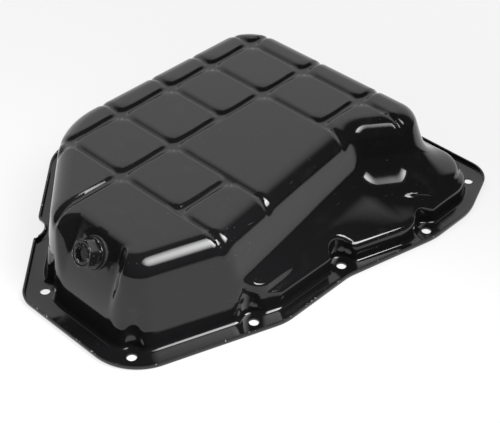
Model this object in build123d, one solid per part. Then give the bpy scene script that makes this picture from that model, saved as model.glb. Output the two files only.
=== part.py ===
from build123d import *
import math
import os

# Stamped steel engine oil pan, upside down on its gasket face.
# +Z is up, the gasket face is z = 0, the drain end faces -X and the stepped front faces -Y.
# The places below are measured from a point near the middle of the pan. When the parts are written
# they move so that the origin is the middle of the flange's overall length and width.
# All sizes are in millimetres and all angles in degrees.

# Sheet and depth
sheet = 1.5
pan_depth = 70.0
base_radius = 3.0
crown_radius = 15.0

# Shoulder: the shallow step between the skirt above the flange and the deep sump
skirt_height = 17.0
shoulder_edge_radius = 6.0
shoulder_fall = 12.0
foot_floor = 24.0

# Plan corners of the deep sump, where its walls would meet: (x, y, corner radius).
# They run anticlockwise from the drain end; the crown corners lie at pan_depth, the base ones at z = 0.
crown_corners = [
    (-142.0, -29.5, 22.0),
    (-77.5, -51.8, 20.0),
    (12.0, -38.2, 300.0),
    (76.0, -29.2, 18.0),
    (101.0, -47.0, 14.0),
    (130.0, -53.0, 16.0),
    (128.6, 126.7, 30.0),
    (-67.6, 126.7, 65.0),
    (-142.0, 46.8, 50.0),
]
base_corners = [
    (-149.8, -36.3, 28.0),
    (-69.0, -65.5, 20.0),
    (12.0, -56.5, 300.0),
    (78.0, -50.0, 18.0),
    (104.0, -71.0, 22.0),
    (146.0, -75.0, 26.0),
    (143.0, 141.6, 38.0),
    (-59.4, 141.6, 65.0),
    (-149.8, 55.3, 60.0),
]
# Skirt corners, where the shoulder drops to the flange
skirt_corners = [
    (-149.8, -36.3, 28.0),
    (-46.0, -73.0, 14.0),
    (12.0, -73.4, 30.0),
    (68.0, -91.5, 30.0),
    (112.0, -90.6, 200.0),
    (157.5, -90.0, 28.0),
    (157.5, 160.3, 38.0),
    (-52.0, 160.3, 20.0),
    (-149.8, 55.3, 60.0),
]
# Radius of the bend between the sump wall that starts at a corner and its shoulder.
# A side without a shoulder has none: its wall runs down to the flange.
foot_radii = [None, 15.0, 26.0, 30.0, 30.0, 18.0, 15.0, None, None]

# Flange
flange_corners = [
    (-165.2, -47.4, 40.0),
    (-53.7, -87.0, 40.0),
    (11.0, -87.0, 40.0),
    (86.5, -104.5, 60.0),
    (128.5, -104.5, 50.0),
    (177.0, -85.5, 22.0),
    (177.0, 175.0, 25.0),
    (-43.2, 175.0, 40.0),
    (-165.2, 58.4, 20.0),
]
lip_height = 4.5
lip_bend_radius = 2.5
notch_place = (-116.7, 115.6)
notch_radius = 14.0
notch_lead_radius = 4.0

# Bolt holes, and the pockets in the skirt that give the bolt heads room: (x, y, direction outwards)
bolt_hole = 7.0
pocket_radius = 9.5
bolt_places = [
    (-147.9, 53.8, 180),
    (-148.3, -36.4, -135),
    (-68.7, -70.4, -110),
    (16.0, -74.8, -95),
    (88.9, -93.7, -95),
    (158.7, -79.8, -55),
    (167.5, 2.0, 0),
    (167.5, 86.0, 0),
    (152.0, 167.5, 90),
    (61.0, 167.5, 90),
    (-30.0, 167.5, 90),
]

# Stiffening grooves between the pads pressed into the bottom of the pan.
# Each number is the middle of a groove; the short groove stops in the pad row behind the front one.
groove_depth = 2.2
groove_width = 10.5
groove_side_run = 3.0
pad_corner_radius = 5.5
cross_grooves = [-10.5, 46.5, 101.5]
long_grooves = [-78.5, -29.5, 19.5, 62.5, 106.5]
broken_groove = 19.5
unbroken_rows = cross_grooves[:2]

# Drain land: the round flat sunk in the top of the end wall, and the seat pressed on it
land_tilt = 27.2
land_top_x = -127.0
land_across = 48.0
land_side_slope = 45.0
land_edge_radius = 5.0
seat_across = 27.0
seat_proud = 0.4
drain_y = 9.6
drain_z = 55.5

# Weld nut, washer and plug
drain_hole = 16.0
thread_size = 14.0
thread_clearance = 0.05
nut_across = 22.0
nut_height = 10.0
washer_across = 23.0
washer_thick = 2.0
washer_clearance = 0.3
collar_across = 21.5
collar_thick = 3.0
hex_across_flats = 17.0
hex_height = 8.0
hex_chamfer = 1.2
head_recess = 11.0
head_recess_depth = 2.5
shank_length = 16.0
shank_chamfer = 1.0

# Slopes at which the wall's round ends start and stop, and the turn below which sides run straight on
least_slope = 6.0
crown_slope = 87.0
straight_turn = 3.0

count = len(crown_corners)
pan_reach = max(abs(size) for corner in flange_corners for size in corner[:2]) + 15


def sin(angle):
    return math.sin(math.radians(angle))


def cos(angle):
    return math.cos(math.radians(angle))


def side_line(corners, index, inset):
    """Return a point on one side of an outline, moved inwards, and the side's direction."""
    start = Vector(*corners[index][:2])
    end = Vector(*corners[(index + 1) % len(corners)][:2])
    along = (end - start).normalized()
    return start + Vector(-along.Y, along.X) * inset, along


def meeting_point(first, second):
    """Return the point where two side lines cross, or lie closest where they run on almost straight."""
    (start, along), (other, across) = first, second
    turn = along.cross(across).Z
    if abs(turn) < sin(straight_turn):
        return (start + along * (other - start).dot(along) + other) / 2
    return start + along * ((other - start).cross(across).Z / turn)


def corners_at(height):
    """Return the sump's corners at one height, on its sloping walls."""
    share = height / pan_depth
    return [
        tuple(low + (high - low) * share for low, high in zip(base, crown))
        for base, crown in zip(base_corners, crown_corners)
    ]


def rounded_wire(corners, height=0.0):
    """Return a closed outline of lines and tangent arcs at one height."""
    arcs = []
    for index, (x, y, radius) in enumerate(corners):
        corner = Vector(x, y)
        back = (Vector(*corners[index - 1][:2]) - corner).normalized()
        ahead = (Vector(*corners[(index + 1) % len(corners)][:2]) - corner).normalized()
        half = math.radians(back.get_angle(ahead)) / 2
        reach = radius / math.tan(half)
        inward = (back + ahead).normalized()
        middle = corner + inward * (radius / math.sin(half) - radius)
        arcs.append((corner + back * reach, middle, corner + ahead * reach))
    edges = []
    for index, (start, middle, end) in enumerate(arcs):
        edges.append(Edge.make_three_point_arc(start, middle, end))
        edges.append(Edge.make_line(end, arcs[(index + 1) % len(arcs)][0]))
    return Wire(edges).moved(Location((0, 0, height)))


def inset_corners(corners, inset):
    """Return an outline moved inwards, with its corner radii to suit."""
    moved = []
    for index, (_, _, radius) in enumerate(corners):
        before = side_line(corners, index - 1, inset)
        after = side_line(corners, index, inset)
        place = meeting_point(before, after)
        outer = before[1].cross(after[1]).Z > 0
        moved.append((place.X, place.Y, radius - inset if outer else radius + inset))
    return moved


def evenly(start, end, steps):
    """Return evenly spaced values from start to end, both included."""
    return [start + (end - start) * step / steps for step in range(steps + 1)]


def side_draft(index):
    """Return how far one sump wall leans in from upright."""
    start, along = side_line(base_corners, index, 0)
    ends = [Vector(*crown_corners[place % count][:2]) for place in (index, index + 1)]
    middle = (ends[0] + ends[1]) / 2
    return math.degrees(math.atan(along.cross(middle - start).Z / pan_depth))


def wall_inset(index, height, depth):
    """Return how far a sump wall's skin lies inside the line of the unrounded wall at one height."""
    draft = side_draft(index)
    crown_middle = pan_depth - crown_radius
    if height > crown_middle + (crown_radius - depth) * sin(draft):
        reach = crown_radius * math.tan(math.radians((90 - draft) / 2))
        across = math.sqrt(max(0, (crown_radius - depth) ** 2 - (height - crown_middle) ** 2))
        return reach - across + (pan_depth - height) * math.tan(math.radians(draft))
    radius = foot_radii[index]
    if radius:
        foot_middle = foot_floor + radius * cos(shoulder_fall)
        if height < foot_middle - (radius + depth) * sin(draft):
            across = math.sqrt((radius + depth) ** 2 - (foot_middle - height) ** 2)
            foot_top = foot_middle - radius * sin(draft)
            return across - radius * cos(draft) + (foot_top - height) * math.tan(math.radians(draft))
    return depth / cos(draft)


def press_levels():
    """List the levels of the pressed skin: kind, height, inset and slope of its outward normal."""
    levels = []
    for slope in evenly(72, 0, 3):
        rise = base_radius * (1 - sin(slope))
        levels.append(("base", sheet + rise, -base_radius * (1 - cos(slope)), slope))
    first, rise, spread, slope = levels[0]
    levels.insert(0, (first, rise - sheet / 2, spread - sheet / 2 * math.tan(math.radians(slope)), slope))
    edge_start = skirt_height - shoulder_edge_radius
    shoulder_slope = 90 - shoulder_fall
    for slope in evenly(0, shoulder_slope, 4):
        rise = shoulder_edge_radius * sin(slope)
        levels.append(("skirt", edge_start + rise, shoulder_edge_radius * (1 - cos(slope)), slope))
    foot_radius = max(radius for radius in foot_radii if radius)
    foot_middle = foot_floor + foot_radius * cos(shoulder_fall)
    for slope in evenly(shoulder_slope, least_slope, 6):
        levels.append(("wall", foot_middle - foot_radius * sin(slope), 0, slope))
    for slope in evenly(least_slope, crown_slope, 7):
        levels.append(("wall", pan_depth - crown_radius * (1 - sin(slope)), 0, slope))
    return levels


def level_section(level, depth):
    """Return the outline of one level of the skin that lies a given depth below the outer one."""
    kind, outer_height, outer_inset, slope = level
    height = outer_height - depth * sin(slope)
    inset = outer_inset + depth * cos(slope)
    wall = corners_at(height)
    low = kind != "wall"
    lines = []
    insets = []
    for index in range(count):
        if low and foot_radii[index]:
            lines.append(side_line(skirt_corners, index, inset))
            insets.append(inset)
        else:
            insets.append(inset if kind == "base" else wall_inset(index, height, depth))
            lines.append(side_line(wall, index, insets[-1]))
    corners = []
    for index in range(count):
        place = meeting_point(lines[index - 1], lines[index])
        outer = lines[index - 1][1].cross(lines[index][1]).Z > 0
        change = inset if low else max(depth, (insets[index - 1] + insets[index]) / 2)
        radius = (skirt_corners if low else wall)[index][2]
        radius = radius - change if outer else radius + change
        corners.append((place.X, place.Y, max(sheet, radius)))
    return rounded_wire(corners, height)


def press_form(depth):
    """Return the solid bounded by the skin that lies a given depth below the outer one."""
    return Solid.make_loft([level_section(level, depth) for level in press_levels()], ruled=True)


def grooves(depth):
    """Return what the grooves take away from the skin at a given depth."""
    slope = math.atan2(groove_side_run, groove_depth)
    shrink = depth * (math.cos(slope) - (1 - math.sin(slope)) * math.tan(slope)) - groove_side_run
    column_edges = [-pan_reach] + long_grooves + [pan_reach]
    row_edges = [-pan_reach] + cross_grooves + [pan_reach]
    outlines = Sketch()
    for row_start, row_end in zip(row_edges, row_edges[1:]):
        columns = list(column_edges)
        if [row_start, row_end] == unbroken_rows:
            columns.remove(broken_groove)
        for column_start, column_end in zip(columns, columns[1:]):
            width = column_end - column_start - groove_width - 2 * shrink
            length = row_end - row_start - groove_width - 2 * shrink
            middle = ((column_start + column_end) / 2, (row_start + row_end) / 2)
            outlines += Pos(*middle) * RectangleRounded(width, length, pad_corner_radius - shrink)
    floor = Pos(0, 0, pan_depth - groove_depth - depth)
    pads = floor * extrude(outlines, groove_depth, taper=math.degrees(slope))
    blank = floor * extrude(Rectangle(2 * pan_reach, 2 * pan_reach), crown_radius)
    return blank - pads


def bolt_pockets(depth):
    """Return the upright cuts that clear the bolt heads, for the skin at a given depth."""
    pocket = Pos(pocket_radius, 0) * SlotCenterToCenter(2 * pocket_radius, 2 * (pocket_radius + depth))
    outlines = Sketch() + [Pos(x, y) * Rot(0, 0, turn) * pocket for x, y, turn in bolt_places]
    return Pos(0, 0, sheet - 2 * depth) * extrude(outlines, pan_depth / 2)


def drain_plane(lift=0.0):
    """Return the plane of the drain land's seat, facing outwards, lifted along the drain axis."""
    land_x = land_top_x - (pan_depth - drain_z) * math.tan(math.radians(land_tilt))
    outward = Vector(-cos(land_tilt), 0, sin(land_tilt))
    return Plane(Vector(land_x, drain_y, drain_z) + outward * lift, x_dir=(0, 1, 0), z_dir=outward)


def disc(plane, across, thick):
    """Return a round disc that stands on a plane."""
    return extrude(plane * Circle(across / 2), thick)


def drain_land(depth):
    """Return the tapered disc that the drain land takes from the skin at a given depth."""
    run = math.tan(math.radians(land_side_slope))
    radius = land_across / 2 + depth * (cos(land_side_slope) - (1 - sin(land_side_slope)) * run)
    reach = 2 * crown_radius
    cut = Solid.make_cone(radius, radius + reach * run, reach, drain_plane(-depth))
    seat_edge = cut.edges().filter_by(GeomType.CIRCLE).sort_by(SortBy.RADIUS)[:1]
    return fillet(seat_edge, land_edge_radius + depth)


def pressed_skin(depth):
    """Return the whole pressed form at a given depth below the outer skin."""
    form = press_form(depth)
    form = form - bolt_pockets(depth)
    form = form - grooves(depth)
    form = form - drain_land(depth)
    seat_back = crown_radius
    seat = disc(drain_plane(seat_proud - depth - seat_back), seat_across - 2 * depth, seat_back)
    return form + seat


def flange_outline(inset):
    """Return the flange's outline, with the notch in its cut corner, moved inwards."""
    outline = make_face(rounded_wire(flange_corners).edges())
    outline -= Pos(*notch_place) * Circle(notch_radius)
    notch_ends = outline.vertices().sort_by_distance(Vertex(*notch_place))[:2]
    outline = fillet(notch_ends, notch_lead_radius)
    return offset(outline, -inset) if inset else outline


def flange():
    """Return the flange with its turned-up rim."""
    tray = extrude(flange_outline(0), lip_height)
    tray = fillet(tray.faces().sort_by(Axis.Z)[0].edges(), lip_bend_radius)
    room = Pos(0, 0, sheet) * extrude(flange_outline(sheet), lip_height)
    room = fillet(room.faces().sort_by(Axis.Z)[0].edges(), lip_bend_radius - sheet)
    return tray - room


def pan_shell():
    """Return the pressed pan."""
    shell = flange() + pressed_skin(0)
    shell -= pressed_skin(sheet)
    holes = Sketch() + [Pos(x, y) * Circle(bolt_hole / 2) for x, y, _ in bolt_places]
    shell -= extrude(holes, sheet)
    shell -= disc(drain_plane(-crown_radius), drain_hole, 2 * crown_radius)
    return shell.solid()


def ring(plane, across, bore, thick):
    """Return a flat round ring that stands on a plane."""
    return disc(plane, across, thick) - disc(plane, bore, thick)


def drain_nut():
    """Return the round weld nut on the inside of the drain land."""
    nut = ring(drain_plane(seat_proud - sheet - nut_height), nut_across, thread_size, nut_height)
    return nut.solid()


def drain_washer():
    """Return the sealing washer between the seat and the plug's collar."""
    bore = thread_size + 2 * washer_clearance
    return ring(drain_plane(seat_proud), washer_across, bore, washer_thick).solid()


def drain_plug():
    """Return the plug: a shank, a collar and a hexagon head with a round recess."""
    collar_seat = seat_proud + washer_thick
    head_seat = collar_seat + collar_thick
    head_top = head_seat + hex_height
    corner_radius = hex_across_flats / math.sqrt(3)
    head = extrude(drain_plane(head_seat) * RegularPolygon(corner_radius, 6), hex_height)
    blank = disc(drain_plane(head_seat), 2 * corner_radius, hex_height)
    head_rim = blank.edges().group_by(Axis(drain_plane().origin, drain_plane().z_dir))[-1]
    head &= chamfer(head_rim, hex_chamfer / 2, hex_chamfer)
    head -= disc(drain_plane(head_top - head_recess_depth), head_recess, head_recess_depth)
    shank = disc(drain_plane(collar_seat - shank_length), thread_size - 2 * thread_clearance, shank_length)
    tip = shank.edges().group_by(Axis(drain_plane().origin, drain_plane().z_dir))[0]
    shank = chamfer(tip, shank_chamfer)
    collar = disc(drain_plane(collar_seat), collar_across, collar_thick)
    return (shank + collar + head).solid()


shell = pan_shell()
middle = shell.bounding_box().center()
to_origin = Pos(-middle.X, -middle.Y, 0)
parts = {
    "pan_shell": shell,
    "drain_nut": drain_nut(),
    "drain_washer": drain_washer(),
    "drain_plug": drain_plug(),
}
os.makedirs("parts", exist_ok=True)
for name, solid in parts.items():
    export_step(to_origin * solid, f"parts/{name}.step")
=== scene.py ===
import bpy
import bmesh
import math
from mathutils import Matrix, Vector


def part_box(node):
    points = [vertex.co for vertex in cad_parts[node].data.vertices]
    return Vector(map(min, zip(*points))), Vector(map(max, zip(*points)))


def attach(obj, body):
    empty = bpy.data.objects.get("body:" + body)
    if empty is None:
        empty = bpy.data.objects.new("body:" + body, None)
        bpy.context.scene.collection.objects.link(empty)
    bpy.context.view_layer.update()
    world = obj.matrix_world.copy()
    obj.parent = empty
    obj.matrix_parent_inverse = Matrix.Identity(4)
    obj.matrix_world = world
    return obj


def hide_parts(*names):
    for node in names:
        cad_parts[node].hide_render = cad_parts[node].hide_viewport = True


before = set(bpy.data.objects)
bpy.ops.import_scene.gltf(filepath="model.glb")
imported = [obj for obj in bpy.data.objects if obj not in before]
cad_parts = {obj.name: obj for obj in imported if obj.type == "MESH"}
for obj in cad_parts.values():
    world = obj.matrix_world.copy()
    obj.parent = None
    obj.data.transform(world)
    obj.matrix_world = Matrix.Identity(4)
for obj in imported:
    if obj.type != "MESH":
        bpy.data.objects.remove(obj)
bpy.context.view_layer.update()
mm = 0.001
panLow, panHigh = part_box("pan_shell")


def sin(angle):
    return math.sin(math.radians(angle))


def cos(angle):
    return math.cos(math.radians(angle))


def tan(angle):
    return math.tan(math.radians(angle))


def evenly(start, end, steps):
    return [start + (end - start) * step / steps for step in range(steps + 1)]


def smoothStep(low, high, value):
    share = min(1.0, max(0.0, (value - low) / (high - low)))
    return share * share * (3 - 2 * share)


def smoothLeast(first, second, blend):
    # the smaller of two values, with a rounded changeover
    near = max(0.0, blend - abs(first - second)) / blend
    return min(first, second) - near * near * blend / 4


def smoothMost(first, second, blend):
    return -smoothLeast(-first, -second, blend)


# an outline is a list of corners (x, y, radius), anticlockwise, in millimetres
straightTurn = 3.0    # sides that turn less than this many degrees count as one line


def sideLine(corners, index, inset=0.0):
    start = Vector(corners[index][:2])
    end = Vector(corners[(index + 1) % len(corners)][:2])
    along = (end - start).normalized()
    return start + Vector((-along.y, along.x)) * inset, along


def meetingPoint(first, second):
    # where two side lines cross, or midway between them where they run on almost straight
    (start, along), (other, across) = first, second
    turn = along.cross(across)
    if abs(turn) < sin(straightTurn):
        return (start + along * (other - start).dot(along) + other) / 2
    return start + along * ((other - start).cross(across) / turn)


def insetCorners(corners, inset):
    moved = []
    for index, corner in enumerate(corners):
        before = sideLine(corners, index - 1, inset)
        after = sideLine(corners, index, inset)
        place = meetingPoint(before, after)
        outer = before[1].cross(after[1]) > 0
        moved.append((place.x, place.y, corner[2] - inset if outer else corner[2] + inset))
    return moved


def cornerArcs(corners):
    arcs = []
    for index, (x, y, radius) in enumerate(corners):
        corner = Vector((x, y))
        back = (Vector(corners[index - 1][:2]) - corner).normalized()
        ahead = (Vector(corners[(index + 1) % len(corners)][:2]) - corner).normalized()
        half = back.angle(ahead) / 2
        reach = radius / math.tan(half)
        centre = corner + (back + ahead).normalized() * (radius / math.sin(half))
        arcs.append((corner + back * reach, corner + ahead * reach, centre, math.pi - 2 * half))
    return arcs


def loopCounts(corners, spacing, arcFewest=3):
    # how many steps each corner's arc and each side gets, so that loops of one outline match up
    counts = []
    arcs = cornerArcs(corners)
    for index, (_, end, _, turn) in enumerate(arcs):
        arcSteps = max(arcFewest, round(corners[index][2] * turn / spacing))
        following = arcs[(index + 1) % len(arcs)][0]
        counts.append((arcSteps, max(1, round((following - end).length / spacing))))
    return counts


def loopPoints(corners, counts):
    points = []
    arcs = cornerArcs(corners)
    for index, (start, end, centre, _) in enumerate(arcs):
        arcSteps, sideSteps = counts[index]
        first, last = start - centre, end - centre
        sweep = math.atan2(first.cross(last), first.dot(last))
        for step in range(arcSteps):
            points.append(centre + Matrix.Rotation(sweep * step / arcSteps, 2) @ first)
        following = arcs[(index + 1) % len(arcs)][0]
        for step in range(sideSteps):
            points.append(end.lerp(following, step / sideSteps))
    return points


pan = {
    "sheet": 1.5,
    "depth": 70.0,
    "baseRadius": 3.0,
    "skirtHeight": 17.0,
    "shoulderEdgeRadius": 6.0,
    "shoulderFall": 12.0,
    "footFloor": 24.0,
    "crownRadius": 15.0,
    "ringSpacing": 2.0,
    "baseSlope": 84,
    "wallSlope": 8,
    "crownSlopes": (4, 86),
    "baseRings": 6,
    "skirtRings": 3,
    "edgeRings": 7,
    "footRings": 14,
    "crownRings": 16,
    "shelfRings": 8,
    "relaxPasses": 3,
    "relaxWeight": 0.5,
    "deckMargin": 1.2,
    "deckTolerance": 0.001,
    "sharpAngle": 38,
    "crownCorners": [(-142, -29.5, 22), (-77.5, -51.8, 20), (12, -38.2, 300), (76, -29.2, 18),
                     (101, -47, 14), (130, -53, 16), (128.6, 126.7, 30), (-67.6, 126.7, 65),
                     (-142, 46.8, 50)],
    "baseCorners": [(-149.8, -36.3, 28), (-69, -65.5, 20), (12, -56.5, 300), (78, -50, 18),
                    (104, -71, 22), (146, -75, 26), (143, 141.6, 38), (-59.4, 141.6, 65),
                    (-149.8, 55.3, 60)],
    "skirtCorners": [(-149.8, -36.3, 28), (-46, -73, 14), (12, -73.4, 30), (68, -91.5, 30),
                     (112, -90.6, 200), (157.5, -90, 28), (157.5, 160.3, 38), (-52, 160.3, 20),
                     (-149.8, 55.3, 60)],
    # one per side, and None where a wall runs straight down to the flange
    "footRadii": [None, 15, 26, 30, 30, 18, 15, None, None],
    "paint": {"colour": (0.006, 0.006, 0.0065, 1), "roughness": 0.05, "peel": 0.05,
              "peelScale": 160.0, "dust": 0.12, "haze": 0.02, "scratches": 0.12,
              "chipScale": 260.0, "chipLow": 0.62},
}
flange = {
    "corners": [(-165.2, -47.4, 40), (-53.7, -87, 40), (11, -87, 40), (86.5, -104.5, 60),
                (128.5, -104.5, 50), (177, -85.5, 22), (177, 175, 25), (-43.2, 175, 40),
                (-165.2, 58.4, 20)],
    "lipHeight": 4.5,
    "lipBend": 1.0,
    "lipFoot": 1.0,
    "lipRings": 4,
    "edgeSoftness": 0.35,
    "edgeBand": 0.3,
    "edgeAngle": 1.0,
    "notchPlace": (-116.7, 115.6),
    "notchRadius": 14.0,
    "notchLead": 4.0,
    "spacing": 2.0,
}
bolts = {
    "holeRadius": 3.5,
    "pocketRadius": 9.5,
    "pocketSoftness": 2.5,
    "pocketReach": 30.0,
    "pocketRise": 10.0,
    "footFlare": 1.5,
    "holeSteps": 40,
    # each hole as (x, y, the direction its pocket opens in)
    "places": [(-147.9, 53.8, 180), (-148.3, -36.4, -135), (-68.7, -70.4, -110), (16, -74.8, -95),
               (88.9, -93.7, -95), (158.7, -79.8, -55), (167.5, 2, 0), (167.5, 86, 0),
               (152, 167.5, 90), (61, 167.5, 90), (-30, 167.5, 90)],
}
# pads fall gently at -X and steeply along the +X half of their -Y side, and the rest is plain
waffle = {
    "depth": 2.0,
    "width": 8.0,
    "gentleRun": 7.5,
    "plainRun": 3.6,
    "steepRun": 2.0,
    "cornerRadius": 5.0,
    "crossGrooves": [-10.5, 46.5, 101.5],
    "longGrooves": [-78.5, -29.5, 19.5, 62.5, 106.5],
    "widePads": [(-190, -78.5, -190, 46.5), (-29.5, 62.5, -190, 46.5)],
    "reach": 190.0,
    "fadeLow": 56.0,
    "fadeHigh": 66.0,
    "steepFrom": (-0.05, 0.2),
    "lineOffsets": (0.8, 0, -0.8, -1.6, -2.4, -3.4),
    "lineSpacing": 4,
}
drain = {
    "landTilt": 27.2,
    "landTopX": -127.0,
    "landRadius": 24.0,
    "landSideSlope": 45.0,
    "landBlend": 2.5,
    "landRunOut": 6.0,
    "landArch": 0.35,
    "y": 9.6,
    "z": 55.5,
    "seatProud": 0.4,
    "seatRadius": 13.5,
    "seatRun": 1.5,
    "holeRadius": 8.0,
    "holeDepth": 3,
    "cutReach": 60,
    "cutDepth": 8,
    "runOutFall": 12,
}
flangeLeft = min(x for x, y, radius in flange["corners"])
flangeRear = max(y for x, y, radius in flange["corners"])
# from the outlines' origin to the frame's
shift = Vector((panLow.x / mm - flangeLeft, panHigh.y / mm - flangeRear, 0))
landX = drain["landTopX"] - (pan["depth"] - drain["z"]) * tan(drain["landTilt"])
drainAxis = Vector((-cos(drain["landTilt"]), 0, sin(drain["landTilt"])))
drainCentre = Vector((landX, drain["y"], drain["z"]))
drainUphill = Vector((sin(drain["landTilt"]), 0, cos(drain["landTilt"])))


def cornersAt(height):
    share = height / pan["depth"]
    return [tuple(low + (high - low) * share for low, high in zip(base, crown))
            for base, crown in zip(pan["baseCorners"], pan["crownCorners"])]


def sideDraft(index):
    # how many degrees one wall leans in from upright
    start, along = sideLine(pan["baseCorners"], index)
    crown = pan["crownCorners"]
    ends = [Vector(crown[place % len(crown)][:2]) for place in (index, index + 1)]
    return math.degrees(math.atan(along.cross((ends[0] + ends[1]) / 2 - start) / pan["depth"]))


drafts = [sideDraft(index) for index in range(len(pan["baseCorners"]))]


def wallInset(index, height):
    # how far a wall's round foot or crown lies inside the straight wall at one height
    draft = drafts[index]
    crown = pan["crownRadius"]
    crownMiddle = pan["depth"] - crown
    if height > crownMiddle + crown * sin(draft):
        across = math.sqrt(max(0, crown ** 2 - (height - crownMiddle) ** 2))
        return crown * tan((90 - draft) / 2) - across + (pan["depth"] - height) * tan(draft)
    foot = pan["footRadii"][index]
    if foot:
        footMiddle = pan["footFloor"] + foot * cos(pan["shoulderFall"])
        if height < footMiddle - foot * sin(draft):
            across = math.sqrt(foot ** 2 - (footMiddle - height) ** 2)
            return across - foot * cos(draft) + (footMiddle - foot * sin(draft) - height) * tan(draft)
    return 0


def pressLevels():
    # (kind, height, inset) from the flange up to the crown
    levels = []
    for slope in evenly(pan["baseSlope"], 0, pan["baseRings"]):
        rise = pan["baseRadius"] * (1 - sin(slope))
        levels.append(("base", pan["sheet"] + rise, -pan["baseRadius"] * (1 - cos(slope))))
    edgeStart = pan["skirtHeight"] - pan["shoulderEdgeRadius"]
    for height in evenly(pan["sheet"] + pan["baseRadius"], edgeStart, pan["skirtRings"])[1:-1]:
        levels.append(("skirt", height, 0))
    shoulderSlope = 90 - pan["shoulderFall"]
    for slope in evenly(0, shoulderSlope, pan["edgeRings"]):
        rise = pan["shoulderEdgeRadius"] * sin(slope)
        levels.append(("skirt", edgeStart + rise, pan["shoulderEdgeRadius"] * (1 - cos(slope))))
    foot = max(radius for radius in pan["footRadii"] if radius)
    footMiddle = pan["footFloor"] + foot * cos(pan["shoulderFall"])
    for slope in evenly(shoulderSlope, pan["wallSlope"], pan["footRings"]):
        levels.append(("wall", footMiddle - foot * sin(slope), 0))
    for slope in evenly(*pan["crownSlopes"], pan["crownRings"]):
        levels.append(("wall", pan["depth"] - pan["crownRadius"] * (1 - sin(slope)), 0))
    return levels


def levelCorners(level):
    kind, height, inset = level
    wall = cornersAt(height)
    low = kind != "wall"
    lines, insets = [], []
    for index in range(len(wall)):
        if low and pan["footRadii"][index]:
            insets.append(inset)
            lines.append(sideLine(pan["skirtCorners"], index, inset))
        else:
            insets.append(inset if kind == "base" else wallInset(index, height))
            lines.append(sideLine(wall, index, insets[-1]))
    corners = []
    for index in range(len(wall)):
        place = meetingPoint(lines[index - 1], lines[index])
        outer = lines[index - 1][1].cross(lines[index][1]) > 0
        change = inset if low else max(0, (insets[index - 1] + insets[index]) / 2)
        radius = (pan["skirtCorners"] if low else wall)[index][2]
        radius = radius - change if outer else radius + change
        corners.append((place.x, place.y, max(pan["sheet"], radius)))
    return corners


def notchedCorners():
    # the flange's outline with the notch in its cut corner as three more corners
    corners = list(flange["corners"])
    start, along = sideLine(corners, len(corners) - 2)
    outward = Vector((along.y, -along.x))
    centre = Vector(flange["notchPlace"])
    foot = start + along * (centre - start).dot(along)
    stand = (centre - start).dot(outward)
    radius, lead = flange["notchRadius"], flange["notchLead"]
    leadU = math.sqrt((radius + lead) ** 2 - (stand + lead) ** 2)
    joinU = leadU * radius / (radius + lead)
    joinV = stand - (stand + lead) * radius / (radius + lead)
    slope = leadU / (stand + lead)
    outerU = joinU - joinV / slope
    innerV = joinV - joinU * slope
    points = [(foot - along * outerU, lead), (foot + outward * innerV, radius),
              (foot + along * outerU, lead)]
    return corners[:-1] + [(point.x, point.y, bend) for point, bend in points] + corners[-1:]


def listPads():
    # the raised pads as (left, right, low, high): the wide ones, and a grid in the places they leave
    columns = [-waffle["reach"]] + waffle["longGrooves"] + [waffle["reach"]]
    rows = [-waffle["reach"]] + waffle["crossGrooves"] + [waffle["reach"]]
    pads = list(waffle["widePads"])
    for left, right in zip(columns, columns[1:]):
        for low, high in zip(rows, rows[1:]):
            middleX, middleY = (left + right) / 2, (low + high) / 2
            if not any(wide[0] < middleX < wide[1] and wide[2] < middleY < wide[3]
                       for wide in waffle["widePads"]):
                pads.append((left, right, low, high))
    return pads


padPlaces = listPads()


def grooveShare(x, y):
    # 0 on a pad, 1 on the floor of a groove
    corner = waffle["cornerRadius"]
    least = 1.0
    for left, right, low, high in padPlaces:
        offsetX, offsetY = x - (left + right) / 2, y - (low + high) / 2
        beyondX = abs(offsetX) - (right - left - waffle["width"]) / 2 + corner
        beyondY = abs(offsetY) - (high - low - waffle["width"]) / 2 + corner
        if max(beyondX, beyondY) > corner + waffle["gentleRun"]:
            continue
        steep = smoothStep(*waffle["steepFrom"], offsetX / (right - left)) if offsetY < 0 else 0
        runY = waffle["plainRun"] + (waffle["steepRun"] - waffle["plainRun"]) * steep
        runX = waffle["gentleRun"] if offsetX < 0 else waffle["plainRun"]
        outX, outY = max(0, beyondX), max(0, beyondY)
        outside = math.hypot(outX, outY)
        run = (runX * outX ** 2 + runY * outY ** 2) / outside ** 2 if outside else runX
        least = min(least, smoothStep(0, run, outside - corner))
    return least


def pressPocket(point, hole):
    # pushes the skirt back from a bolt head's place, leaving the pocket open outwards
    holeX, holeY, turn = hole
    outward = Vector((cos(turn), sin(turn)))
    side = Vector((outward.y, -outward.x))
    away = Vector((point.x - holeX, point.y - holeY))
    foot = bolts["footFlare"]
    radius = bolts["pocketRadius"] - foot * max(0, 1 - (point.z - pan["sheet"]) / foot) ** 2
    along, inward = away.dot(side), -away.dot(outward)
    soft = bolts["pocketSoftness"]
    if abs(along) >= radius + soft or inward > 2 * radius:
        return point
    wall = math.sqrt(max(0, radius ** 2 - along ** 2))
    edge = smoothStep(radius + soft, radius - soft / 2, abs(along))
    pushed = inward + (smoothMost(inward, wall, soft) - inward) * edge
    place = Vector((holeX, holeY)) + side * along - outward * pushed
    return Vector((place.x, place.y, point.z))


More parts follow.
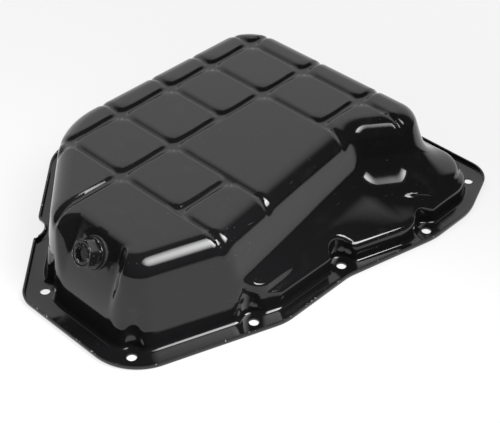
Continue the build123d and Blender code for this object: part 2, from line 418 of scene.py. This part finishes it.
def pressLand(point):
    # cuts the drain land into the end wall, arched above and running out below, then raises its seat
    offset = point - drainCentre
    lift = offset.dot(drainAxis)
    across = (offset - drainAxis * lift).length
    if lift < -drain["cutDepth"] or across > drain["cutReach"]:
        return point
    uphill = offset.dot(drainUphill)
    reach = math.hypot(offset.y, drain["landArch"] * max(0, uphill))
    side = (reach - drain["landRadius"]) / tan(drain["landSideSlope"])
    rim = smoothMost(0, side, drain["landBlend"])
    runOut = smoothStep(0, -drain["runOutFall"], uphill)
    blend = drain["landBlend"] + (drain["landRunOut"] - drain["landBlend"]) * runOut
    sunk = smoothLeast(lift, rim, blend)
    keep = smoothStep(drain["seatRadius"], drain["seatRadius"] + drain["seatRun"], across)
    sunk += (drain["seatProud"] - sunk) * (1 - keep)
    return point + drainAxis * (sunk - lift)


def pressDetails(point, outward):
    # grooves, bolt pockets and the drain land, pressed into a point of the plain form
    fade = smoothStep(waffle["fadeLow"], waffle["fadeHigh"], point.z)
    if fade:
        point = point - outward * (waffle["depth"] * fade * grooveShare(point.x, point.y))
    if point.z < pan["footFloor"] + bolts["pocketRise"]:
        for hole in bolts["places"]:
            if math.hypot(point.x - hole[0], point.y - hole[1]) < bolts["pocketReach"]:
                point = pressPocket(point, hole)
    return pressLand(point)


def skinRings():
    # every loop of the press form, from the flange to the crown, as lists of points
    spacing = pan["ringSpacing"]
    levels = pressLevels()
    counts = loopCounts(levelCorners(levels[len(levels) // 2]), spacing)
    rings = [[Vector((x, y, level[1])) for x, y in loopPoints(levelCorners(level), counts)]
             for level in levels]
    firstWall = [level[0] for level in levels].index("wall")
    shelf = []
    for share in evenly(0, 1, pan["shelfRings"])[1:-1]:
        shelf.append([low.lerp(high, share)
                      for low, high in zip(rings[firstWall - 1], rings[firstWall])])
    return rings[:firstWall] + shelf + rings[firstWall:]


def relaxRings(rings, passes, weight):
    # softens the creases that run along the loops; the first two and last two loops stay
    for _ in range(passes):
        before = [list(ring) for ring in rings]
        for level in range(2, len(rings) - 2):
            for index in range(len(rings[level])):
                middle = (before[level - 1][index] + before[level + 1][index]) / 2
                rings[level][index] = before[level][index].lerp(middle, weight)
    return rings


def ringNormals(rings):
    # the outward direction at every point of the loops
    normals = []
    for level, ring in enumerate(rings):
        lower, upper = rings[max(0, level - 1)], rings[min(len(rings) - 1, level + 1)]
        normals.append([])
        for index in range(len(ring)):
            around = ring[(index + 1) % len(ring)] - ring[index - 1]
            normals[-1].append(around.cross(upper[index] - lower[index]).normalized())
    return normals


def bridgeRings(bm, rings):
    loops = []
    for ring in rings:
        verts = [bm.verts.new(point) for point in ring]
        loops.append([bm.edges.new((verts[index - 1], verts[index])) for index in range(len(verts))])
    for lower, upper in zip(loops, loops[1:]):
        for low, high in zip(lower, upper):
            bm.faces.new((low.verts[0], low.verts[1], high.verts[1], high.verts[0]))
    return loops


def grooveLines(grooves, low, high):
    # grid lines: close together across each groove's sides, far apart on the pads
    half = waffle["width"] / 2
    lines = []
    for groove in grooves:
        for side in (-1, 1):
            lines += [groove + side * (half + step) for step in waffle["lineOffsets"]]
    stops = sorted([low] + lines + [high])
    filled = []
    for start, end in zip(stops, stops[1:]):
        steps = max(1, round((end - start) / waffle["lineSpacing"]))
        filled += evenly(start, end, steps)[:-1]
    return filled + [high]


def insideLoop(loop, x, y, margin):
    # whether a place lies inside a closed loop by at least a margin
    inside = False
    nearest = margin + 1
    for index in range(len(loop)):
        x1, y1 = loop[index - 1][0], loop[index - 1][1]
        x2, y2 = loop[index][0], loop[index][1]
        if (y1 > y) != (y2 > y) and x < (x2 - x1) * (y - y1) / (y2 - y1) + x1:
            inside = not inside
        nearest = min(nearest, math.hypot(x - x2, y - y2))
    return inside and nearest >= margin


def addDeck(bm, crownLoop):
    # the flat bottom of the pan: a grid that follows the grooves, joined to the crown's last loop
    outline = [edge.verts[0].co.copy() for edge in crownLoop]
    xs = [point.x for point in outline]
    ys = [point.y for point in outline]
    across = grooveLines(waffle["longGrooves"], min(xs), max(xs))
    along = grooveLines(waffle["crossGrooves"], min(ys), max(ys))
    grid = {}
    for i, x in enumerate(across):
        for j, y in enumerate(along):
            if insideLoop(outline, x, y, pan["deckMargin"]):
                grid[i, j] = bm.verts.new((x, y, pan["depth"]))
    faces = []
    for i, j in grid:
        corners = [(i, j), (i + 1, j), (i + 1, j + 1), (i, j + 1)]
        if all(corner in grid for corner in corners):
            faces.append(bm.faces.new([grid[corner] for corner in corners]))
    loose = [vert for vert in grid.values() if not vert.link_faces]
    bmesh.ops.delete(bm, geom=loose, context="VERTS")
    rim = list({edge for face in faces for edge in face.edges if len(edge.link_faces) == 1})
    bmesh.ops.triangle_fill(bm, use_beauty=True, edges=rim + crownLoop, normal=(0, 0, 1))


def addFlange(bm, baseLoop):
    # the flat round the pan with its bolt holes, and the rim turned up at its edge
    outline = notchedCorners()
    counts = loopCounts(outline, flange["spacing"])
    bend, sheet = flange["lipBend"], pan["sheet"]
    rings = []
    for angle in evenly(90, 0, flange["lipRings"]):
        inset = sheet + bend * (1 - sin(angle))
        rings.append((inset, sheet + bend * (1 - cos(angle))))
    rings = [(sheet, flange["lipHeight"]), (sheet, sheet + bend + flange["lipFoot"])] + rings
    loops = bridgeRings(bm, [[Vector((x, y, height))
                              for x, y in loopPoints(insetCorners(outline, inset), counts)]
                             for inset, height in rings])
    holes = []
    for x, y, _ in bolts["places"]:
        circle = bmesh.ops.create_circle(bm, segments=bolts["holeSteps"],
                                         radius=bolts["holeRadius"],
                                         matrix=Matrix.Translation((x, y, sheet)))
        holes += list({edge for vert in circle["verts"] for edge in vert.link_edges})
    bmesh.ops.triangle_fill(bm, use_beauty=True, edges=loops[-1] + baseLoop + holes,
                            normal=(0, 0, 1))


def openDrain(bm):
    # the round hole under the washer
    doomed = []
    for face in bm.faces:
        offset = face.calc_center_median() - drainCentre
        lift = offset.dot(drainAxis)
        across = (offset - drainAxis * lift).length
        if abs(lift) < drain["holeDepth"] and across < drain["holeRadius"]:
            doomed.append(face)
    rim = {vert for face in doomed for vert in face.verts}
    bmesh.ops.delete(bm, geom=doomed, context="FACES")
    for vert in rim:
        if vert.is_valid and vert.link_faces:
            offset = vert.co - drainCentre
            flat = offset - drainAxis * offset.dot(drainAxis)
            vert.co = drainCentre + drainAxis * drain["seatProud"]
            vert.co += flat.normalized() * drain["holeRadius"]


def newObject(name, bm):
    mesh = bpy.data.meshes.new(name)
    bm.to_mesh(mesh)
    bm.free()
    piece = bpy.data.objects.new(name, mesh)
    bpy.context.scene.collection.objects.link(piece)
    return piece


def makePan():
    bm = bmesh.new()
    rings = relaxRings(skinRings(), pan["relaxPasses"], pan["relaxWeight"])
    normals = ringNormals(rings)
    rings = [[pressDetails(point, outward) for point, outward in zip(ring, ways)]
             for ring, ways in zip(rings, normals)]
    loops = bridgeRings(bm, rings)
    addDeck(bm, loops[-1])
    rim = {vert for edge in loops[-1] for vert in edge.verts}
    for vert in bm.verts:
        if vert.co.z > pan["depth"] - pan["deckTolerance"] and vert not in rim:
            vert.co = pressDetails(vert.co, Vector((0, 0, 1)))
    addFlange(bm, loops[0])
    openDrain(bm)
    bmesh.ops.recalc_face_normals(bm, faces=bm.faces)
    top = max(bm.faces, key=lambda face: face.calc_center_median().z)
    if top.normal.z < 0:
        bmesh.ops.reverse_faces(bm, faces=bm.faces)
    place = Matrix.Diagonal((mm, mm, mm, 1)) @ Matrix.Translation(shift)
    bmesh.ops.transform(bm, matrix=place, verts=bm.verts)
    return newObject("panSkin", bm)


def finishPan(piece):
    # gives the skin its sheet thickness and softens the sheared edge of the rim
    solid = piece.modifiers.new("sheet", "SOLIDIFY")
    solid.thickness = pan["sheet"] * mm
    solid.offset = -1
    solid.use_quality_normals = True
    graph = bpy.context.evaluated_depsgraph_get()
    mesh = bpy.data.meshes.new_from_object(piece.evaluated_get(graph))
    piece.modifiers.clear()
    bm = bmesh.new()
    bm.from_mesh(mesh)
    wear = bm.verts.layers.float.new("wear")
    lip = flange["lipHeight"] * mm
    sharp = [edge for edge in bm.edges
             if len(edge.link_faces) == 2 and edge.calc_face_angle() > flange["edgeAngle"]
             and all(abs(vert.co.z - lip) < flange["edgeBand"] * mm for vert in edge.verts)]
    rim = bmesh.ops.bevel(bm, geom=sharp, offset=flange["edgeSoftness"] * mm, offset_type="OFFSET",
                          affect="EDGES", segments=2, profile=0.5, material=-1)
    for vert in rim["verts"]:
        vert[wear] = 1.0
    for face in bm.faces:
        face.smooth = True
    bm.to_mesh(mesh)
    bm.free()
    mesh.set_sharp_from_angle(angle=math.radians(pan["sharpAngle"]))
    piece.data = mesh
    return piece


class Wire:
    # a node's socket that takes part in Python expressions
    def __init__(self, maker, socket):
        self.maker = maker
        self.socket = socket

    def maths(self, operation, first, second):
        return self.maker.add("ShaderNodeMath", {"operation": operation}, {0: first, 1: second})

    def __add__(self, other):
        return self.maths("ADD", self, other)

    def __radd__(self, other):
        return self.maths("ADD", other, self)

    def __sub__(self, other):
        return self.maths("SUBTRACT", self, other)

    def __rsub__(self, other):
        return self.maths("SUBTRACT", other, self)

    def __mul__(self, other):
        return self.maths("MULTIPLY", self, other)

    def __rmul__(self, other):
        return self.maths("MULTIPLY", other, self)

    def __pow__(self, other):
        return self.maths("POWER", self, other)

    def step(self, low, high):
        # 0 below low, 1 above high, smooth between
        return self.maker.add("ShaderNodeMapRange", {"interpolation_type": "SMOOTHSTEP"},
                              {"Value": self, "From Min": low, "From Max": high})


class Maker:
    def __init__(self, tree):
        self.tree = tree
        tree.nodes.clear()

    def add(self, kind, settings=None, values=None, output=0):
        node = self.tree.nodes.new(kind)
        for name, value in (settings or {}).items():
            setattr(node, name, value)
        for name, value in (values or {}).items():
            if isinstance(value, Wire):
                self.tree.links.new(value.socket, node.inputs[name])
            else:
                node.inputs[name].default_value = value
        return Wire(self, node.outputs[output]) if node.outputs else None

    def axes(self, vector):
        return [self.add("ShaderNodeSeparateXYZ", {}, {0: vector}, output=axis)
                for axis in range(3)]

    def blend(self, share, first, second):
        return self.add("ShaderNodeMix", {"data_type": "RGBA"}, {0: share, 6: first, 7: second},
                        output=2)

    def noise(self, where, scale, detail, roughness=0.5):
        return self.add("ShaderNodeTexNoise", {}, {"Vector": where, "Scale": scale, "Detail": detail,
                                                   "Roughness": roughness})


def newMaterial(name):
    material = bpy.data.materials.new(name)
    material.use_nodes = True
    return material, Maker(material.node_tree)


paint = {
    "driftScale": 14.0,
    "driftRough": 0.05,
    "grainScale": 900.0,
    "grainRough": 0.02,
    "hazeScale": 42.0,
    "hazeEdge": (0.54, 0.8),
    "hazeRough": 0.22,
    "hazeGain": 10,
    "nibScale": 520.0,
    "nibEdge": (0.76, 0.8),
    "nibHeight": 0.5,
    "streakTurn": (0.3, 0.5, 0.9),
    "streakScale": (60.0, 1400.0, 900.0),
    "streakEdge": (0.7, 0.74),
    "patchScale": 22.0,
    "patchEdge": (0.55, 0.65),
    "scratchDepth": 0.35,
    "chipWidth": 0.06,
    "chipDepth": 0.6,
    "dustColour": (0.3, 0.29, 0.28, 1),
    "bareColour": (0.42, 0.4, 0.38, 1),
    "bareRough": 0.25,
    "bareMetal": 0.8,
    "index": 1.5,
    "bumpDistance": 0.0004,
}


def glossPaint(name, look):
    # black stoved paint: slight orange peel, dust nibs, handling marks, and bare metal on worn edges
    material, make = newMaterial(name)
    where = make.add("ShaderNodeTexCoord", output=3)
    peel = make.noise(where, look["peelScale"], 2.0)
    drift = make.noise(where, paint["driftScale"], 3.0)
    grain = make.noise(where, paint["grainScale"], 2.0)
    haze = make.noise(where, paint["hazeScale"], 5.0, 0.7).step(*paint["hazeEdge"])
    nibs = make.noise(where, paint["nibScale"], 1.0).step(*paint["nibEdge"])
    streaks = make.add("ShaderNodeMapping", {}, {"Vector": where, "Rotation": paint["streakTurn"],
                                                 "Scale": paint["streakScale"]})
    patches = make.noise(where, paint["patchScale"], 2.0).step(*paint["patchEdge"])
    scratches = make.noise(streaks, 1.0, 2.0).step(*paint["streakEdge"]) * patches
    edge = make.add("ShaderNodeAttribute", {"attribute_name": "wear"}, output=2)
    chips = make.noise(where, look["chipScale"], 4.0, 0.6)
    bare = edge * chips.step(look["chipLow"], look["chipLow"] + paint["chipWidth"])
    marks = look["dust"] * nibs + look["haze"] * haze + look["scratches"] * scratches
    colour = make.blend(marks, look["colour"], paint["dustColour"])
    colour = make.blend(bare, colour, paint["bareColour"])
    rough = look["roughness"] + paint["driftRough"] * drift + paint["grainRough"] * grain
    rough = rough + paint["hazeRough"] * haze * look["haze"] * paint["hazeGain"]
    rough = rough + paint["bareRough"] * bare
    height = peel + paint["nibHeight"] * nibs
    height = height - paint["scratchDepth"] * scratches - paint["chipDepth"] * bare
    bump = make.add("ShaderNodeBump", {}, {"Strength": look["peel"],
                                           "Distance": paint["bumpDistance"], "Height": height})
    shader = make.add("ShaderNodeBsdfPrincipled", {}, {
        "Base Color": colour, "Roughness": rough, "Metallic": bare * paint["bareMetal"],
        "IOR": paint["index"], "Normal": bump})
    make.add("ShaderNodeOutputMaterial", {}, {"Surface": shader})
    return material


def setMaterial(piece, material):
    piece.data.materials.clear()
    piece.data.materials.append(material)


# the plug, washer and weld nut are turned on the drain's axis, which their lifts are measured along
plug = {
    "pitch": 1.5,
    "crestRadius": 6.95,
    "rootRadius": 6.05,
    "tipChamfer": 1.0,
    "shankLength": 16.0,
    "collarLift": 2.4,
    "collarThick": 3.0,
    "collarRadius": 10.75,
    "flankGain": 1.3,
    "flankDrop": 0.15,
    "threadRunOut": (0.6, 2.2),
    "tipFlat": 1.5,
    "neckOut": 0.3,
    # how far above the seat or below the collar's top, and how far in from its edge
    "collarFoot": [(0, 0.5), (0.15, 0.15), (0.5, 0)],
    "collarTop": [(0.7, 0), (0.2, 0.2), (0, 0.7)],
    "hexHalf": 8.5,
    "hexCorner": 9.55,
    "hexHeight": 8.0,
    "chamferRadius": 8.35,
    "chamferSlope": 30,
    # depths below the head's top
    "hexRows": [7.98, 7.8, 7.4, 4, 0.8, 0.65, 0.5, 0.38, 0.27, 0.18, 0.1, 0.03],
    "filletFrom": 7.4,
    "filletRun": 0.58,
    "filletOut": 0.35,
    "recessRadius": 5.5,
    "recessDepth": 2.5,
    # over the head's top and into its recess, as (depth, radius beyond the recess)
    "headTop": [(0, 2.6), (0.12, 2.2), (0.12, 1.1), (0, 0.75), (0, 0.25), (0.25, 0)],
    # the recess's floor, as (rise, radius beyond the recess)
    "recessFloor": [(0.4, -0.1), (0, -0.5), (0, -3)],
    # where paint is worn away: corners of the hexagon, rim of its top, lip of its recess, collar
    "wearFrom": 0.3,
    "cornerWear": (0.35, 0.05),
    "rimWearDepth": 0.35,
    "rimWearReach": (0.9, 0.2),
    "rimWearRadius": (7.6, 8.2),
    "lipWearDepth": (0.5, 0.1),
    "lipWearOut": 0.4,
    "lipWearReach": (1.0, 0.5),
    "collarWearDepth": 0.6,
    "collarWear": (0.6, 0.2),
    "steps": 96,
    "threadSteps": 64,
    "sharpAngle": 28,
    "paint": {"colour": (0.007, 0.007, 0.0075, 1), "roughness": 0.12, "peel": 0.1,
              "peelScale": 420.0, "dust": 0.08, "haze": 0.02, "scratches": 0.08,
              "chipScale": 500.0, "chipLow": 0.6},
}
washer = {
    "bore": 7.3,
    "radius": 11.5,
    "low": 0.4,
    "high": 2.4,
    "softness": 0.3,
    "steps": 72,
    "ringScale": 3000.0,
    "ringRough": 0.08,
    "stainScale": 260.0,
    "stainEdge": (0.35, 0.75),
    "stainRough": 0.2,
    "darkColour": (0.03, 0.03, 0.032, 1),
    "paleColour": (0.11, 0.105, 0.1, 1),
    "roughness": 0.3,
    "metal": 0.7,
    "bump": 0.3,
    "bumpDistance": 0.0001,
}
nut = {
    "bore": 7.0,
    "radius": 11.0,
    "low": -11.1,
    "high": -1.1,
    "softness": 0.8,
    "steps": 72,
    "mottleScale": 600.0,
    "mottleRough": 0.3,
    "patchScale": 90.0,
    "patchEdge": (0.3, 0.7),
    "darkColour": (0.012, 0.012, 0.013, 1),
    "paleColour": (0.05, 0.048, 0.045, 1),
    "roughness": 0.42,
    "metal": 0.2,
    "bump": 0.25,
    "bumpDistance": 0.0002,
}


def drainFrame():
    # from the axis's own (across, across, lift) to the frame's metres, with a hexagon corner uphill
    turn = Matrix((drainUphill, drainAxis.cross(drainUphill), drainAxis)).transposed().to_4x4()
    return Matrix.Diagonal((mm, mm, mm, 1)) @ Matrix.Translation(drainCentre + shift) @ turn


def addRing(bm, ring):
    # a ring with an oblong section and softened edges
    soft, low, high = ring["softness"], ring["low"], ring["high"]
    bore, reach = ring["bore"], ring["radius"]
    outline = [(bore + soft, low), (reach - soft, low), (reach, low + soft), (reach, high - soft),
               (reach - soft, high), (bore + soft, high), (bore, high - soft), (bore, low + soft)]
    verts = [bm.verts.new((radius, 0, lift)) for radius, lift in outline]
    edges = [bm.edges.new((verts[index - 1], verts[index])) for index in range(len(verts))]
    bmesh.ops.spin(bm, geom=verts + edges, cent=(0, 0, 0), axis=(0, 0, 1), angle=2 * math.pi,
                   steps=ring["steps"], use_merge=True)


def threadRadius(lift, angle):
    # a rolled thread that runs out at the tip's chamfer and under the collar
    seat, root, crest = plug["collarLift"], plug["rootRadius"], plug["crestRadius"]
    tip = seat - plug["shankLength"]
    phase = (lift / plug["pitch"] - angle / 360) % 1
    flank = plug["flankGain"] * (1 - abs(2 * phase - 1)) - plug["flankDrop"]
    gone, full = plug["threadRunOut"]
    share = min(1, max(0, flank)) * smoothStep(seat - gone, seat - full, lift)
    return min(root + (crest - root) * share, crest - plug["tipChamfer"] + lift - tip)


def hexRadius(depth, angle):
    # the hexagon's reach at a depth below its top, with the turned chamfer
    flat = plug["hexHalf"] / cos(angle % 60 - 30)
    return min(flat, plug["hexCorner"], plug["chamferRadius"] + depth / tan(plug["chamferSlope"]))


def plugRings():
    # the plug's loops from the tip of its thread to the floor of its recess
    seat = plug["collarLift"]
    tip = seat - plug["shankLength"]
    head = seat + plug["collarThick"]
    top = head + plug["hexHeight"]
    collar, recess = plug["collarRadius"], plug["recessRadius"]
    angles = [360 * step / plug["steps"] for step in range(plug["steps"])]
    rows = [(tip, [threadRadius(tip, 0) - plug["tipFlat"]] * len(angles))]
    for lift in evenly(tip, seat, plug["threadSteps"])[:-1]:
        rows.append((lift, [threadRadius(lift, angle) for angle in angles]))
    turned = [(seat, plug["rootRadius"] + plug["neckOut"])]
    turned += [(seat + rise, collar - inset) for rise, inset in plug["collarFoot"]]
    turned += [(head - depth, collar - inset) for depth, inset in plug["collarTop"]]
    rows += [(lift, [radius] * len(angles)) for lift, radius in turned]
    for depth in plug["hexRows"]:
        grow = max(0, (depth - plug["filletFrom"]) / plug["filletRun"]) ** 2
        rows.append((top - depth, [hexRadius(depth, angle) + plug["filletOut"] * grow
                                   for angle in angles]))
    turned = [(top - depth, recess + out) for depth, out in plug["headTop"]]
    turned += [(top - plug["recessDepth"] + rise, recess + out) for rise, out in plug["recessFloor"]]
    rows += [(lift, [radius] * len(angles)) for lift, radius in turned]
    return [[Vector((radius * cos(angle), radius * sin(angle), lift))
             for radius, angle in zip(radii, angles)] for lift, radii in rows]


def addPlug(bm):
    loops = bridgeRings(bm, plugRings())
    for loop in (loops[0], loops[-1]):
        bm.faces.new([edge.verts[0] for edge in loop])
    wear = bm.verts.layers.float.new("wear")
    head = plug["collarLift"] + plug["collarThick"]
    top = head + plug["hexHeight"]
    hexCorner, recess, collar = plug["hexCorner"], plug["recessRadius"], plug["collarRadius"]
    for vert in bm.verts:
        radius = math.hypot(vert.co.x, vert.co.y)
        if vert.co.z > head + plug["wearFrom"]:
            first, last = plug["cornerWear"]
            corner = smoothStep(hexCorner - first, hexCorner - last, radius)
            rim = smoothStep(*plug["rimWearReach"], abs(vert.co.z - top + plug["rimWearDepth"]))
            rim *= smoothStep(*plug["rimWearRadius"], radius)
            lip = smoothStep(*plug["lipWearDepth"], top - vert.co.z)
            lip *= smoothStep(*plug["lipWearReach"], abs(radius - recess - plug["lipWearOut"]))
            vert[wear] = max(corner, rim, lip)
        elif vert.co.z > head - plug["collarWearDepth"]:
            first, last = plug["collarWear"]
            vert[wear] = smoothStep(collar - first, collar - last, radius)


def finishTurned(name, bm, body, node, material):
    bmesh.ops.recalc_face_normals(bm, faces=bm.faces)
    bmesh.ops.transform(bm, matrix=drainFrame(), verts=bm.verts)
    for face in bm.faces:
        face.smooth = True
    piece = newObject(name, bm)
    piece.data.set_sharp_from_angle(angle=math.radians(plug["sharpAngle"]))
    setMaterial(piece, material)
    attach(piece, body)
    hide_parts(node)


def drainMapping(make):
    # object coordinates turned so that z runs along the drain's axis
    where = make.add("ShaderNodeTexCoord", output=3)
    place = drainFrame()
    return make.add("ShaderNodeMapping", {"vector_type": "TEXTURE"},
                    {"Vector": where, "Location": tuple(place.translation),
                     "Rotation": tuple(place.to_euler())})


def washerSteel():
    # zinc plated and blackened, with the lathe's rings still showing
    material, make = newMaterial("washerSatin")
    local = drainMapping(make)
    x, y, _ = make.axes(local)
    radius = (x * x + y * y) ** 0.5
    outwards = make.add("ShaderNodeCombineXYZ", {}, {0: radius * washer["ringScale"]})
    rings = make.noise(outwards, 1.0, 2.0)
    stain = make.noise(local, washer["stainScale"], 4.0, 0.6)
    colour = make.blend(stain.step(*washer["stainEdge"]), washer["darkColour"], washer["paleColour"])
    rough = washer["roughness"] + washer["stainRough"] * stain + washer["ringRough"] * rings
    bump = make.add("ShaderNodeBump", {}, {"Strength": washer["bump"],
                                           "Distance": washer["bumpDistance"], "Height": rings})
    shader = make.add("ShaderNodeBsdfPrincipled", {}, {
        "Base Color": colour, "Roughness": rough, "Metallic": washer["metal"], "Normal": bump})
    make.add("ShaderNodeOutputMaterial", {}, {"Surface": shader})
    return material


def nutPhosphate():
    # dull phosphate, mottled in patches
    material, make = newMaterial("nutPhosphate")
    local = drainMapping(make)
    mottle = make.noise(local, nut["mottleScale"], 4.0, 0.65)
    patches = make.noise(local, nut["patchScale"], 3.0).step(*nut["patchEdge"])
    colour = make.blend(mottle * patches, nut["darkColour"], nut["paleColour"])
    rough = nut["roughness"] + nut["mottleRough"] * mottle
    bump = make.add("ShaderNodeBump", {}, {"Strength": nut["bump"],
                                           "Distance": nut["bumpDistance"], "Height": mottle})
    shader = make.add("ShaderNodeBsdfPrincipled", {}, {
        "Base Color": colour, "Roughness": rough, "Metallic": nut["metal"], "Normal": bump})
    make.add("ShaderNodeOutputMaterial", {}, {"Surface": shader})
    return material


studio = {
    "cameraPlace": (-514.849, -495.459, 597.497),
    "heading": -45.83,
    "pitch": 39.1,
    "roll": 0.25,
    "lens": 91.32,
    "sensor": 36,
    "clip": (0.01, 100),
    "shift": (0.009, 0.0014),
    "floorHalf": 6,
    "paperColour": (0.8, 0.8, 0.8, 1),
    "white": (1, 1, 1, 1),
    "glowShare": 0.75,
    "litFloor": (-0.31, -0.22),
    "litWallFacing": (0.717, 0.697),
    "litWall": (0.3, 0.6),
    "litTop": (0.85, 1.0),
    "darkLevel": 0.03,
    "sky": 0.8,
    "keyPlace": (-0.031, -0.376, 0.455),
    "keyTarget": (-0.216, -0.076, 0.065),
    "keySize": (0.34, 0.44),
    "keyPower": 1.1,
    "keySpread": 60.0,
}


def addCamera():
    data = bpy.data.cameras.new("camera")
    data.lens = studio["lens"]
    data.sensor_width = studio["sensor"]
    data.shift_x, data.shift_y = studio["shift"]
    data.clip_start, data.clip_end = studio["clip"]
    camera = bpy.data.objects.new("camera", data)
    turn = Matrix.Rotation(math.radians(studio["heading"]), 4, "Z")
    turn = turn @ Matrix.Rotation(math.radians(90 - studio["pitch"]), 4, "X")
    turn = turn @ Matrix.Rotation(math.radians(studio["roll"]), 4, "Z")
    place = (Vector(studio["cameraPlace"]) + shift) * mm
    camera.matrix_world = Matrix.Translation(place) @ turn
    bpy.context.scene.collection.objects.link(camera)
    bpy.context.scene.camera = camera


def addFloor():
    bm = bmesh.new()
    bmesh.ops.create_grid(bm, x_segments=1, y_segments=1, size=studio["floorHalf"])
    floor = newObject("floor", bm)
    material, make = newMaterial("floorWhite")
    where = make.add("ShaderNodeTexCoord", output=3)
    _, y, _ = make.axes(where)
    lit = y.step(*studio["litFloor"])    # in reflections, the lit paper ends in front of the pan
    glossyRay = make.add("ShaderNodeLightPath", output="Is Glossy Ray")
    paper = make.add("ShaderNodeBsdfDiffuse", {}, {"Color": studio["paperColour"]})
    glow = make.add("ShaderNodeEmission", {}, {"Color": studio["white"],
                                               "Strength": 1 - glossyRay * (1 - lit)})
    share = studio["glowShare"] + (1 - studio["glowShare"]) * glossyRay
    both = make.add("ShaderNodeMixShader", {}, {0: share, 1: paper, 2: glow})
    make.add("ShaderNodeOutputMaterial", {}, {"Surface": both})
    setMaterial(floor, material)


def addWorld():
    world = bpy.data.worlds.new("studio")
    bpy.context.scene.world = world
    world.use_nodes = True
    make = Maker(world.node_tree)
    toward = make.add("ShaderNodeTexCoord")
    x, y, z = make.axes(toward)
    east, north = studio["litWallFacing"]
    bright = (east * x + north * y).step(*studio["litWall"]) * (1 - z.step(*studio["litTop"]))
    level = studio["darkLevel"] + (1 - studio["darkLevel"]) * bright
    cameraRay = make.add("ShaderNodeLightPath", output="Is Camera Ray")
    glossyRay = make.add("ShaderNodeLightPath", output="Is Glossy Ray")
    seen = glossyRay * level + (1 - glossyRay) * studio["sky"]
    strength = cameraRay + (1 - cameraRay) * seen
    back = make.add("ShaderNodeBackground", {}, {"Color": studio["white"], "Strength": strength})
    make.add("ShaderNodeOutputWorld", {}, {"Surface": back})


def addSoftbox():
    # a softbox with a grid, so that it lights the drain end and hardly shows in the shoulder
    data = bpy.data.lights.new("key", "AREA")
    data.shape = "RECTANGLE"
    data.size, data.size_y = studio["keySize"]
    data.energy = studio["keyPower"]
    data.spread = math.radians(studio["keySpread"])
    light = bpy.data.objects.new("key", data)
    light.location = studio["keyPlace"]
    aim = Vector(studio["keyTarget"]) - Vector(studio["keyPlace"])
    light.rotation_euler = aim.to_track_quat("-Z", "Y").to_euler()
    bpy.context.scene.collection.objects.link(light)


bpy.context.scene.view_settings.view_transform = "Standard"
addCamera()
addFloor()
addWorld()
addSoftbox()
print("studio ready")

panSkin = finishPan(makePan())
setMaterial(panSkin, glossPaint("glossBlackPaint", pan["paint"]))
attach(panSkin, "pan")
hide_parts("pan_shell")
print("pan skin", len(panSkin.data.vertices), len(panSkin.data.polygons))

plugMesh, washerMesh, nutMesh = bmesh.new(), bmesh.new(), bmesh.new()
addPlug(plugMesh)
addRing(washerMesh, washer)
addRing(nutMesh, nut)
plugPaint = glossPaint("plugPaint", plug["paint"])
finishTurned("drainPlug", plugMesh, "plug", "drain_plug", plugPaint)
finishTurned("drainWasher", washerMesh, "washer", "drain_washer", washerSteel())
finishTurned("weldNut", nutMesh, "pan", "drain_nut", nutPhosphate())
print("drain plug, washer and weld nut")
